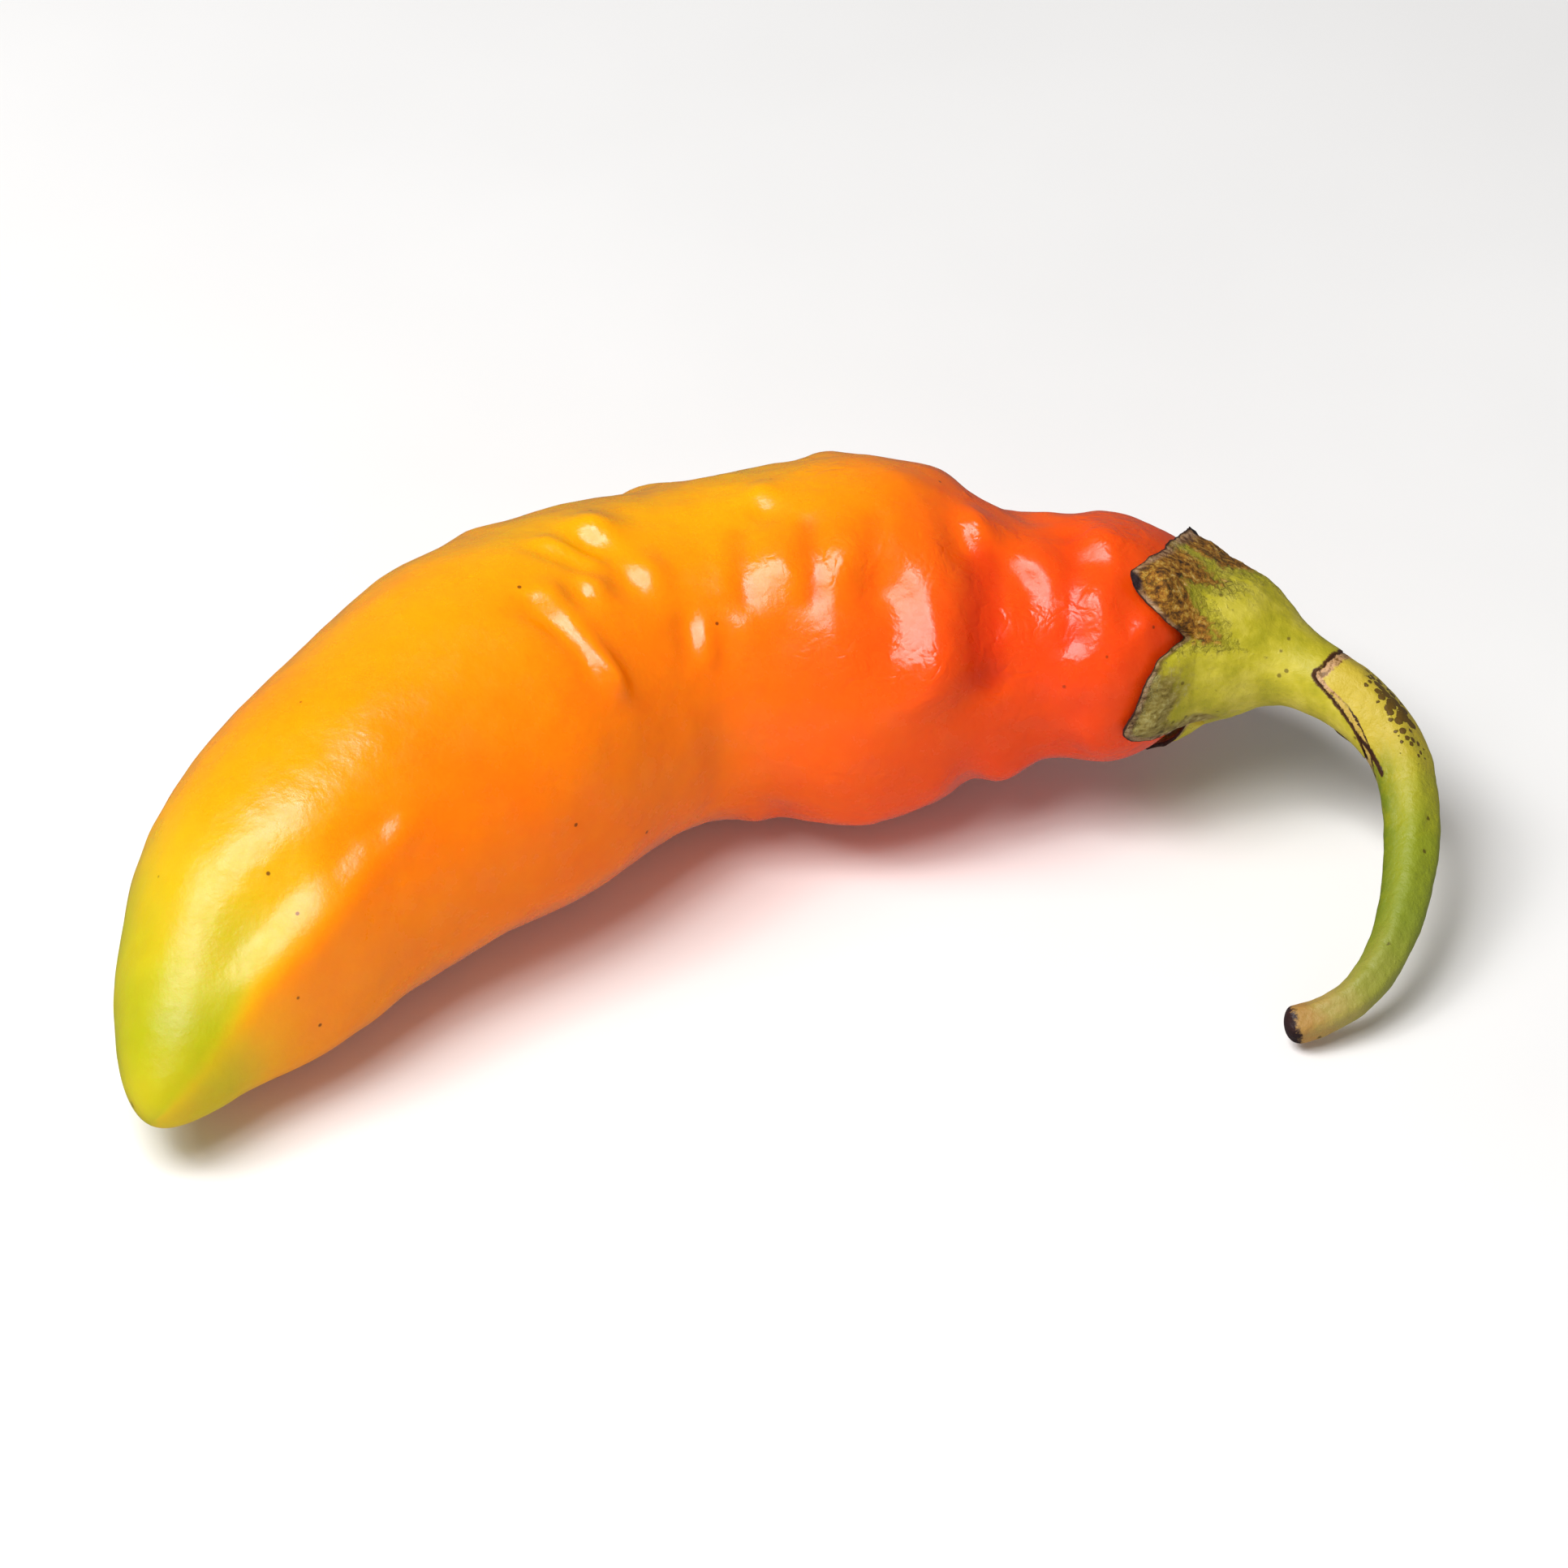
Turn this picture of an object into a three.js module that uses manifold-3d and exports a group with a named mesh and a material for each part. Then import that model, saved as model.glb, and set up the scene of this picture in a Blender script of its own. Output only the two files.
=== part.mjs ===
// A seasoning pepper lying on its side: the curved pod, the toothed calyx on its shoulder, and the bent stem.
// Lengths are in millimetres. The origin is under the belly, on the surface that the pepper lies on.
// A place on the skin is a distance along the axis from the pod's tip, and a turn round the axis in degrees:
// 0 is on top, 90 faces the hollow side of the curve, and -90 faces away from it.

import * as THREE from "three";
import Module from "manifold-3d";
import { mergeVertices } from "three/addons/utils/BufferGeometryUtils.js";

const POD_LENGTH = 94;
const TIP_ROUND = 5;
const TOP_ROUND = 3;
const CLEARANCE = 0.35;
const BLADE = 0.75;

// The axis runs from the tip through the pod and the calyx to the end of the stem: distance, x, y, z.
const AXIS = [
  [0, -23.4, -33.2, 5.6],
  [8, -20.8, -25.7, 7.4],
  [16, -17.5, -18.8, 8.9],
  [24, -13.2, -12.4, 10.7],
  [32, -7.5, -6.8, 12.0],
  [40, -1.8, -1.2, 12.6],
  [48, 4.2, 4.0, 12.5],
  [56, 11.1, 7.9, 12.3],
  [64, 18.9, 9.3, 12.3],
  [72, 26.9, 9.5, 12.4],
  [80, 34.9, 9.1, 12.7],
  [88, 42.8, 8.8, 13.1],
  [94, 48.7, 8.0, 13.4],
  [99, 53.2, 5.8, 13.4],
  [103, 56.5, 3.6, 12.9],
  [107, 59.7, 1.4, 11.8],
  [112, 61.6, -2.6, 9.7],
  [117, 61.7, -7.2, 7.6],
  [122, 61.0, -11.7, 5.7],
  [127, 59.2, -16.1, 3.8],
  [131, 56.4, -18.7, 2.4],
  [134.5, 53.1, -19.5, 1.8],
  [138, 49.6, -19.4, 1.5],
];

// Distance, radius of the pod before its bumps and its round ends.
const GIRTH = [
  [0, 2.9],
  [4, 4.1],
  [9, 6.5],
  [16, 9.3],
  [23, 10.8],
  [31, 11.8],
  [40, 13.0],
  [48, 12.4],
  [56, 11.8],
  [63, 12.2],
  [69, 12.8],
  [74.5, 11.4],
  [79, 9.2],
  [82.5, 8.2],
  [86, 8.8],
  [89, 7.9],
  [91.5, 6.3],
  [94, 4.4],
];

// Swellings and creases of the pod: distance, turn, height, reach along, reach round, twist in degrees.
const BUMPS = [
  [73.0, 46, 0.6, 2.4, 6.0, 8],
  [77.1, 42, -0.95, 1.5, 5.0, 8],
  [80.6, 24, 0.45, 1.9, 2.6, 0],
  [80.0, 66, 0.35, 1.6, 3.0, 0],
  [76.4, 2, 0.4, 2.0, 2.6, 0],
  [74.5, -38, 0.5, 2.4, 3.4, 0],
  [85.2, 0, 0.35, 2.4, 3.0, 0],
  [84.6, 48, 0.3, 2.6, 2.2, 20],
  [68.0, 24, 0.35, 1.9, 2.4, 0],
  [65.4, 22, -0.3, 1.0, 4.5, 0],
  [62.8, 27, 0.35, 1.9, 2.4, 0],
  [62.3, -4, 0.25, 2.0, 3.0, 20],
  [55.6, 46, 0.3, 3.2, 2.2, -20],
  [50.6, 17, 0.35, 1.8, 2.2, 0],
  [47.2, 4, 0.3, 3.6, 1.3, 40],
  [42.2, 26, 0.4, 1.2, 5.6, -30],
  [45.6, 22, -0.35, 1.4, 4.2, -30],
  [41.2, 66, 0.3, 1.8, 3.0, 0],
  [19.5, 47, 0.35, 7.0, 2.6, 0],
  [16.0, 22, -0.25, 8.0, 2.6, 0],
  [30.0, 12, 0.25, 5.0, 3.6, 0],
  [76.6, 128, -0.75, 1.3, 4.2, 0],
  [79.2, 130, 0.85, 1.7, 4.2, 0],
  [68.0, 124, 0.45, 5.0, 4.4, 0],
  [54.0, 92, -0.35, 3.0, 3.4, 0],
  [35.0, 100, 0.35, 5.0, 4.0, 0],
  [13.0, 108, 0.55, 7.0, 4.6, 0],
  [74.0, -72, 0.5, 2.4, 4.4, -10],
  [77.6, -58, -0.9, 1.6, 4.6, -10],
  [80.8, -70, 0.5, 1.8, 3.0, 0],
  [66.0, -88, 0.4, 2.2, 3.0, 0],
  [60.0, -55, -0.4, 1.5, 5.0, 15],
  [56.5, -80, 0.4, 2.0, 3.0, 0],
  [46.0, -70, -0.4, 1.4, 5.0, -25],
  [42.5, -95, 0.4, 2.2, 3.6, 0],
  [33.0, -60, 0.35, 2.6, 2.6, 0],
  [24.0, -100, 0.3, 6.0, 2.4, 0],
];

// The pod is faintly three-lobed, and the lobes fade out at both ends.
const LOBES = 3;
const LOBE_DEPTH = 0.012;
const LOBE_TURN = -40;
const LOBE_FADE = 20;

// Distance, radius of the calyx where it narrows from the shoulder to the neck.
const CAP = [
  [89, 8.3],
  [91, 7.4],
  [94, 5.8],
  [96.5, 4.8],
  [98.3, 3.7],
  [100, 2.9],
  [102.5, 2.5],
  [106, 2.3],
  [112, 2.1],
];

// Turn, distance of the calyx's rim: five teeth point to the pod's tip, with notches between them.
const RIM = [
  [-40, 91.6],
  [-12, 90.9],
  [6, 90.0],
  [24, 88.3],
  [38, 90.2],
  [51, 92.4],
  [64, 90.6],
  [84, 88.9],
  [103, 88.0],
  [113, 90.2],
  [127, 92.6],
  [140, 92.7],
  [158, 90.2],
  [176, 87.8],
  [194, 89.8],
  [213, 92.2],
  [232, 90.0],
  [248, 88.2],
  [266, 90.2],
  [286, 92.4],
  [304, 92.2],
  [320, 91.6],
];

// The stem leaves the calyx at a slanted joint, which lies furthest along the axis on the inside of the bend.
const JOINT = 104.8;
const JOINT_SLANT = 3.5;
const JOINT_TURN = -48;
const JOINT_GAP = 0.75;

// Distance, radius of the stem, which flares a little at its cut end.
const STALK = [
  [99, 2.4],
  [103, 2.45],
  [108, 2.15],
  [113, 2.0],
  [118, 1.85],
  [123, 1.6],
  [128, 1.35],
  [131.5, 1.25],
  [134.5, 1.35],
];
const STALK_END = 134.5;
const STALK_DOME = 0.5;
const STALK_RIDGES = 5;
const RIDGE_HEIGHT = 0.07;

const POD_RINGS = 66;
const POD_COLUMNS = 40;
const POD_CROWDING = 0.11;
const CALYX_COLUMNS = 50;
const UNDERSIDE_RINGS = 8;
const CALYX_RINGS = 16;
const STALK_RINGS = 26;
const STALK_COLUMNS = 20;

const solids = await Module();
solids.setup();

function rise(rows, k, column) {
  return (rows[k + 1][column] - rows[k][column]) / (rows[k + 1][0] - rows[k][0]);
}

function slope(rows, k, column) {
  if (k === 0) {
    return rise(rows, 0, column);
  }
  if (k === rows.length - 1) {
    return rise(rows, k - 1, column);
  }
  const before = rows[k][0] - rows[k - 1][0];
  const after = rows[k + 1][0] - rows[k][0];
  return (rise(rows, k - 1, column) * after + rise(rows, k, column) * before) / (before + after);
}

// A cubic through the rows of one column, whose slope at each row follows from the rows on both sides.
function smooth(rows, x, column = 1) {
  const last = rows.length - 1;
  let k = 0;
  while (k < last - 1 && x > rows[k + 1][0]) {
    k += 1;
  }
  const span = rows[k + 1][0] - rows[k][0];
  const f = Math.min(Math.max((x - rows[k][0]) / span, 0), 1);
  const start = rows[k][column] * (1 + 2 * f) * (1 - f) ** 2;
  const end = rows[k + 1][column] * f * f * (3 - 2 * f);
  const leaving = slope(rows, k, column) * span * f * (1 - f) ** 2;
  const arriving = slope(rows, k + 1, column) * span * f * f * (1 - f);
  return start + end + leaving - arriving;
}

function mix(from, to, part) {
  return from + (to - from) * part;
}

function clampUnit(value) {
  return Math.min(Math.max(value, 0), 1);
}

// One at zero and falling to nothing at one, along a quarter of a circle.
function quarterRound(value) {
  const inset = clampUnit(value);
  return Math.sqrt(1 - inset * inset);
}

function axisPoint(distance) {
  return new THREE.Vector3(smooth(AXIS, distance, 1), smooth(AXIS, distance, 2), smooth(AXIS, distance, 3));
}

// The point at a radius from the axis, on the side that the turn names.
function skinPoint(distance, turn, radius) {
  const step = 0.05;
  const tangent = axisPoint(distance + step).sub(axisPoint(distance - step)).normalize();
  const up = new THREE.Vector3(0, 0, 1).addScaledVector(tangent, -tangent.z).normalize();
  const side = new THREE.Vector3().crossVectors(tangent, up);
  const angle = THREE.MathUtils.degToRad(turn);
  return axisPoint(distance)
    .addScaledVector(up, radius * Math.cos(angle))
    .addScaledVector(side, radius * Math.sin(angle));
}

function wrapTurn(turn) {
  return THREE.MathUtils.euclideanModulo(turn + 180, 360) - 180;
}

function relief(distance, turn) {
  const fade = clampUnit(distance / LOBE_FADE) * clampUnit((POD_LENGTH - distance) / LOBE_FADE);
  const lobe = Math.cos(THREE.MathUtils.degToRad(LOBES * turn - LOBE_TURN));
  let height = LOBE_DEPTH * smooth(GIRTH, distance) * lobe * fade;
  for (const [at, facing, tall, reachAlong, reachRound, twist] of BUMPS) {
    const along = distance - at;
    const round = THREE.MathUtils.degToRad(wrapTurn(turn - facing)) * smooth(GIRTH, at);
    const cosine = Math.cos(THREE.MathUtils.degToRad(twist));
    const sine = Math.sin(THREE.MathUtils.degToRad(twist));
    const lengthwise = (cosine * along + sine * round) / reachAlong;
    const crosswise = (cosine * round - sine * along) / reachRound;
    height += tall * Math.exp(-lengthwise * lengthwise - crosswise * crosswise);
  }
  return height;
}

function fullRadius(distance, turn) {
  return smooth(GIRTH, Math.min(distance, POD_LENGTH)) + relief(distance, turn);
}

function podRadius(distance, turn) {
  const tip = quarterRound(1 - distance / TIP_ROUND);
  const top = quarterRound(1 - (POD_LENGTH - distance) / TOP_ROUND);
  return fullRadius(distance, turn) * tip * top;
}

function rimDistance(turn) {
  const first = RIM[0][0];
  return smooth(RIM, THREE.MathUtils.euclideanModulo(turn - first, 360) + first);
}

function jointDistance(turn) {
  return JOINT - JOINT_SLANT * Math.cos(THREE.MathUtils.degToRad(turn - JOINT_TURN));
}

// The calyx's seat is the pod's skin, moved out and along by the clearance between them.
function seatRadius(distance, turn) {
  return fullRadius(distance - CLEARANCE, turn) + CLEARANCE;
}

function undersideRadius(distance, turn) {
  const top = quarterRound(1 - (POD_LENGTH + CLEARANCE - distance) / (TOP_ROUND + CLEARANCE));
  return seatRadius(distance, turn) * top;
}

function calyxRadius(distance, turn) {
  if (distance >= POD_LENGTH) {
    return smooth(CAP, distance);
  }
  const blade = seatRadius(distance, turn) + BLADE;
  return distance < CAP[0][0] ? blade : Math.max(blade, smooth(CAP, distance));
}

function stalkRadius(distance, turn) {
  const ridge = Math.cos(THREE.MathUtils.degToRad(STALK_RIDGES * turn));
  return smooth(STALK, distance) + RIDGE_HEIGHT * ridge;
}

// A closed skin through rings round the axis. Each ring turns an angle into a distance and a radius, and the
// first and the last ring are single points on the axis.
function skin(rings, columns) {
  const points = [];
  const faces = [];
  const ringStart = (k) => 1 + (k - 1) * columns;
  points.push(skinPoint(rings[0](0)[0], 0, 0));
  for (const ring of rings.slice(1, -1)) {
    for (let column = 0; column < columns; column += 1) {
      const turn = (360 * column) / columns;
      const [distance, radius] = ring(turn);
      points.push(skinPoint(distance, turn, radius));
    }
  }
  points.push(skinPoint(rings.at(-1)(0)[0], 0, 0));
  const lastPoint = points.length - 1;
  for (let column = 0; column < columns; column += 1) {
    const next = (column + 1) % columns;
    faces.push(0, ringStart(1) + next, ringStart(1) + column);
    for (let k = 1; k < rings.length - 2; k += 1) {
      const here = ringStart(k) + column;
      const beside = ringStart(k) + next;
      const above = ringStart(k + 1) + column;
      const across = ringStart(k + 1) + next;
      faces.push(here, beside, across, here, across, above);
    }
    const outer = ringStart(rings.length - 2);
    faces.push(outer + column, outer + next, lastPoint);
  }
  const geometry = new THREE.BufferGeometry();
  geometry.setAttribute("position", new THREE.Float32BufferAttribute(points.flatMap((p) => p.toArray()), 3));
  geometry.setIndex(faces);
  return geometry;
}

function solidFrom(geometry) {
  const bare = geometry.clone();
  bare.deleteAttribute("normal");
  bare.deleteAttribute("uv");
  const merged = mergeVertices(bare);
  const mesh = new solids.Mesh({
    numProp: 3,
    vertProperties: new Float32Array(merged.attributes.position.array),
    triVerts: new Uint32Array(merged.index.array),
  });
  return new solids.Manifold(mesh);
}

function geometryFrom(solid) {
  const mesh = solid.getMesh();
  const geometry = new THREE.BufferGeometry();
  geometry.setAttribute("position", new THREE.BufferAttribute(mesh.vertProperties, 3));
  geometry.setIndex(new THREE.BufferAttribute(mesh.triVerts, 1));
  return geometry;
}

// The pod's rings crowd together at both ends, where the skin turns in fastest.
function podGeometry() {
  const rings = [];
  for (let k = 0; k <= POD_RINGS; k += 1) {
    const part = k / POD_RINGS;
    const distance = POD_LENGTH * (part - POD_CROWDING * Math.sin(2 * Math.PI * part));
    rings.push((turn) => [distance, podRadius(distance, turn)]);
  }
  return skin(rings, POD_COLUMNS);
}

// The belly is flattened where the pod's weight presses it on the surface.
function flattenBelly(geometry) {
  const reach = 2 * POD_LENGTH;
  const below = new THREE.BoxGeometry(reach, reach, reach);
  below.translate(0, 0, -reach / 2);
  return geometryFrom(solidFrom(geometry).subtract(solidFrom(below)));
}

// From the middle of the underside out to the rim, then over the outside to the slanted joint.
function calyxGeometry() {
  const rings = [];
  const middle = POD_LENGTH + CLEARANCE;
  for (let k = 0; k <= UNDERSIDE_RINGS; k += 1) {
    const part = (k / UNDERSIDE_RINGS) ** 2;
    rings.push((turn) => {
      const distance = mix(middle, rimDistance(turn), part);
      return [distance, undersideRadius(distance, turn)];
    });
  }
  for (let k = 0; k <= CALYX_RINGS; k += 1) {
    rings.push((turn) => {
      const distance = mix(rimDistance(turn), jointDistance(turn), k / CALYX_RINGS);
      return [distance, calyxRadius(distance, turn)];
    });
  }
  rings.push(() => [JOINT, 0]);
  return skin(rings, CALYX_COLUMNS);
}

function stemGeometry() {
  const rings = [() => [JOINT + JOINT_GAP, 0]];
  for (let k = 0; k <= STALK_RINGS; k += 1) {
    rings.push((turn) => {
      const distance = mix(jointDistance(turn) + JOINT_GAP, STALK_END, k / STALK_RINGS);
      return [distance, stalkRadius(distance, turn)];
    });
  }
  rings.push(() => [STALK_END + STALK_DOME, 0]);
  return skin(rings, STALK_COLUMNS);
}

function piece(name, geometry, look) {
  geometry.computeVertexNormals();
  const mesh = new THREE.Mesh(geometry, new THREE.MeshStandardMaterial(look));
  mesh.name = name;
  return mesh;
}

const pepper = new THREE.Group();
pepper.add(piece("pod", flattenBelly(podGeometry()), { color: "#ee7a1e", roughness: 0.25, metalness: 0 }));
pepper.add(piece("calyx", calyxGeometry(), { color: "#a8983a", roughness: 0.6, metalness: 0 }));
pepper.add(piece("stem", stemGeometry(), { color: "#9aa338", roughness: 0.5, metalness: 0 }));

export default pepper;
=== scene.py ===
"""A seasoning pepper lying on a pale floor: the glossy pod, the half-dried calyx and the bent stem."""
import math

import bpy
import numpy as np
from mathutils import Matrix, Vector, noise


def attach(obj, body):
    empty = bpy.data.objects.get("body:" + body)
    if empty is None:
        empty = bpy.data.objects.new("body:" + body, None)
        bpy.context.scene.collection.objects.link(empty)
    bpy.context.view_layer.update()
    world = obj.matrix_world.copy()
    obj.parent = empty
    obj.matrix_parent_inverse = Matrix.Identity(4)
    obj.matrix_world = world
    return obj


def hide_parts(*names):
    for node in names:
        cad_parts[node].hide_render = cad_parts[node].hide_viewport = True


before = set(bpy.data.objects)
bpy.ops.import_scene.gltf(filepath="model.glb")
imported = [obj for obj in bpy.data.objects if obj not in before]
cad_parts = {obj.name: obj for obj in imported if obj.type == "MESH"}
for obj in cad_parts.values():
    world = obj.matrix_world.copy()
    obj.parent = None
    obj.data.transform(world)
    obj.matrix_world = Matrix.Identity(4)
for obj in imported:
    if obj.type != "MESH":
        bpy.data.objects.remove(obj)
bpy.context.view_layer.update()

# Shapes are worked out in millimetres and made in metres. A place on the skin is a distance along the axis
# from the pod's tip, and a turn round the axis in degrees: 0 is on top, 90 faces the hollow of the curve.
# A pair of values for rise() says where something is absent and where it is full.
MM = 0.001
POD_LENGTH = 94
TIP_ROUND = 5
TOP_ROUND = 3

# The calyx sits on the pod at a clearance and ends inside the pod's own end. Its blade is thin at the rim.
CLEARANCE = 0.35
SEAT_END = POD_LENGTH + CLEARANCE
BLADE = 0.75
RIM_BLADE = 0.3
BLADE_GROWTH = 3.0
RIM_GROWTH = 1.5

# Distance, x, y, z of the axis, from the tip through the pod and the calyx to the end of the stem.
AXIS = [
    [0, -23.4, -33.2, 5.6],
    [8, -20.8, -25.7, 7.4],
    [16, -17.5, -18.8, 8.9],
    [24, -13.2, -12.4, 10.7],
    [32, -7.5, -6.8, 12.0],
    [40, -1.8, -1.2, 12.6],
    [48, 4.2, 4.0, 12.5],
    [56, 11.1, 7.9, 12.3],
    [64, 18.9, 9.3, 12.3],
    [72, 26.9, 9.5, 12.4],
    [80, 34.9, 9.1, 12.7],
    [88, 42.8, 8.8, 13.1],
    [94, 48.7, 8.0, 13.4],
    [99, 53.2, 5.8, 13.4],
    [103, 56.5, 3.6, 12.9],
    [107, 59.7, 1.4, 11.8],
    [112, 61.6, -2.6, 9.7],
    [117, 61.7, -7.2, 7.6],
    [122, 61.0, -11.7, 5.7],
    [127, 59.2, -16.1, 3.8],
    [131, 56.4, -18.7, 2.4],
    [134.5, 53.1, -19.5, 1.8],
    [138, 49.6, -19.4, 1.5],
]

# Distance, radius of the pod before its bumps and its round ends.
GIRTH = [
    [0, 2.9],
    [4, 4.1],
    [9, 6.5],
    [16, 9.3],
    [23, 10.8],
    [31, 11.8],
    [40, 13.0],
    [48, 12.4],
    [56, 11.8],
    [63, 12.2],
    [69, 12.8],
    [74.5, 11.4],
    [79, 9.2],
    [82.5, 8.2],
    [86, 8.8],
    [89, 7.9],
    [91.5, 6.3],
    [94, 4.4],
]

# Reach over which the axis and the girth are averaged. It shrinks to nothing towards both ends.
AXIS_BLUR = 3
GIRTH_BLUR = 1.5
BLUR_TAPER = 4

# Swellings and dents of the pod: distance, turn, height, reach along, reach round.
BUMPS = [
    [83.6, 68, 0.25, 2.2, 2.6],
    [71.8, -12, 0.35, 2.2, 2.4],
    [75.0, -42, 0.5, 2.4, 3.4],
    [30.0, 12, 0.25, 5.0, 3.6],
    [62.0, 28, 0.5, 9.0, 2.6],
    [62.9, 27, 0.15, 1.4, 1.8],
    [67.6, 26, 0.15, 1.4, 1.8],
    [59.4, 45, 0.22, 1.6, 2.0],
    [76.6, 128, -0.75, 1.3, 4.2],
    [79.2, 130, 0.85, 1.7, 4.2],
    [68.0, 124, 0.45, 5.0, 4.4],
    [54.0, 92, -0.35, 3.0, 3.4],
    [35.0, 100, 0.35, 5.0, 4.0],
    [13.0, 108, 0.55, 7.0, 4.6],
    [74.0, -78, 0.5, 2.4, 4.4],
    [81.0, -68, 0.5, 1.8, 3.0],
    [82.4, -110, 0.4, 1.6, 2.4],
    [66.0, -88, 0.45, 2.2, 2.6],
    [56.5, -80, 0.4, 2.0, 3.0],
    [24.0, -100, 0.3, 6.0, 2.4],
]

# Grooves of the pod: distance and turn of both ends, height, reach to each side.
CREASES = [
    [77.9, 18, 78.2, 66, -0.75, 1.6],
    [60.0, 12, 59.6, 34, -0.35, 1.4],
    [65.2, 12, 65.3, 36, -0.4, 1.2],
    [70.0, 10, 69.8, 34, -0.3, 1.2],
    [83.9, -4, 84.1, 52, -0.4, 1.3],
    [87.9, 8, 87.6, 34, -0.25, 0.9],
    [77.2, -40, 78.4, -84, -0.75, 1.8],
    [59.4, -40, 59.0, -72, -0.4, 1.1],
    [46.8, -60, 44.6, -88, -0.4, 1.1],
    [69.8, -96, 71.0, -126, -0.4, 1.2],
]

# Small slanting spots, which shine on the seen side: distance, turn, rise along, rise round, reach along,
# reach round, twist in degrees.
SLANTS = [
    [11.6, 36, 0.0, 0.46, 3.8, 3.0, 0],
    [16.4, 40, 0.05, 0.46, 3.4, 2.6, 0],
    [21.0, 44, 0.12, 0.44, 2.8, 1.7, 0],
    [24.8, 46, 0.16, 0.4, 1.8, 1.3, 0],
    [49.4, -2, 0.8, -0.58, 1.6, 1.9, 0],
    [42.2, 14, 0.5, -0.1, 1.5, 1.2, 0],
    [45.9, 18, 0.74, -0.12, 1.3, 1.2, 0],
    [50.4, 20, 0.62, -0.08, 1.8, 1.8, 0],
    [53.5, 45, 0.4, 0.32, 1.7, 1.8, 0],
    [62.4, -2, 0.2, -0.65, 1.2, 1.6, 0],
    [62.9, 27, 0.1, -0.1, 1.6, 1.8, 0],
    [67.6, 26, 0.15, -0.1, 1.6, 1.8, 0],
    [77.0, 7, 0.85, -0.45, 1.5, 2.2, 0],
    [80.8, 17, 0.35, -0.3, 1.6, 1.8, 0],
    [82.0, 30, 0.3, -0.1, 1.4, 1.6, 0],
    [86.1, 7, 0.3, -0.45, 1.6, 1.8, 0],
    [88.8, 44, 0.55, 0.18, 1.1, 1.1, 0],
    [89.9, 27, 0.85, -0.18, 1.2, 1.4, 0],
    [47.0, -52, -0.45, 0.2, 1.8, 2.4, 20],
    [55.5, -48, 0.4, -0.25, 1.6, 2.2, 0],
    [61.5, -64, -0.45, 0.15, 2.0, 2.4, -25],
    [66.0, -44, 0.4, 0.2, 1.6, 1.8, 0],
    [70.5, -70, -0.5, -0.2, 2.0, 3.0, 0],
    [81.5, -30, 0.4, -0.2, 1.6, 2.0, 0],
    [86.2, -62, -0.35, 0.2, 1.5, 1.8, 0],
    [85.8, -104, 0.4, 0.2, 1.4, 1.8, 0],
    [63.0, -112, 0.4, -0.2, 1.8, 2.2, 0],
    [52.0, -104, -0.4, 0.25, 1.8, 2.4, 15],
    [38.0, -84, 0.35, 0.2, 2.2, 2.6, -20],
    [84.6, 112, 0.35, -0.2, 1.5, 2.0, 0],
    [61.0, 128, -0.35, 0.2, 1.8, 2.6, 0],
]

# Long slanting strokes of wrinkled skin, in the same terms: the reach along is across the stroke, and the
# reach round is half its length. The bend keeps each one flat while the pod curves round.
STROKES = [
    [46.8, 3, 0.8, -0.42, 0.9, 2.6, -26],
    [42.8, 33, 0.72, 0.24, 1.0, 4.0, -10],
    [73.4, 47, 0.54, 0.27, 3.4, 5.2, -24],
]
STROKE_BEND = 0.04

# Shallow lobes round the pod, which fade out towards both ends.
LOBES = 3
LOBE_DEPTH = 0.012
LOBE_TURN = -40
LOBE_FADE = 20

# Distance, radius of the calyx where it narrows from the shoulder to the neck.
CAP = [
    [89, 8.3],
    [91, 7.4],
    [94, 5.8],
    [96.5, 4.8],
    [98.3, 3.7],
    [100, 2.9],
    [102.5, 2.5],
    [106, 2.3],
    [112, 2.1],
]

# Turn, distance of the calyx's rim, with its five teeth.
RIM = [
    [-40, 91.6],
    [-12, 90.9],
    [6, 90.0],
    [24, 88.3],
    [38, 90.2],
    [51, 92.4],
    [64, 90.6],
    [84, 88.9],
    [103, 88.0],
    [113, 90.2],
    [127, 92.6],
    [140, 92.7],
    [158, 90.2],
    [176, 87.8],
    [194, 89.8],
    [213, 92.2],
    [232, 90.0],
    [248, 88.2],
    [266, 90.2],
    [286, 92.4],
    [304, 92.2],
    [320, 91.6],
]
RIM_RADIUS = 7.9

# Size and depth of the small lumps of the rim and the joint.
RIM_RAGGEDNESS = (0.9, 0.16)
JOINT_RAGGEDNESS = (0.7, 0.12)

# The teeth: turn, how dark the tip is, how dry the tooth is, how far the dryness reaches from the rim.
# The pairs say how far it reaches to both sides in degrees, and from the rim as a share of the last value.
TEETH = [
    [-40, 1.0, 1.0, 6.2],
    [24, 0.9, 1.0, 6.6],
    [103, 0.45, 0.35, 2.0],
    [176, 0.7, 0.3, 2.4],
    [248, 0.8, 0.9, 5.4],
]
DRY_TURN = (50.6, 6.6)
DRY_REACH = (1.2, 0.2)
TIP_TURN = 5
TIP_REACH = 0.8

# Each tooth carries a low rib. One tooth curls up from the skin, and one is grey.
RIB_HEIGHT = 0.22
RIB_TURN = 13
RIB_START = (0, 3)
RIB_END = (100, 96)
CURLED_TOOTH = -40
CURL_HEIGHT = 0.7
CURL = (2.6, 0)
GREY_TOOTH = 103
GREY_TURN = (55.2, 9.2)
GREY_REACH = (7.02, 1.62)

# Turn and reach of the place where the pale rim is rolled outwards, and how much wider it is there.
ROLL = (118, 14)
ROLL_WIDTH = 1.6

# Lumps of the calyx's crust, which ends before the neck, and a distance that is far from any edge.
CRUST_HEIGHT = 0.09
CRUST_LUMP = 1.4
CRUST_GRAIN = 0.55
CRUSTED = (103, 97)
FAR = 20

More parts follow.
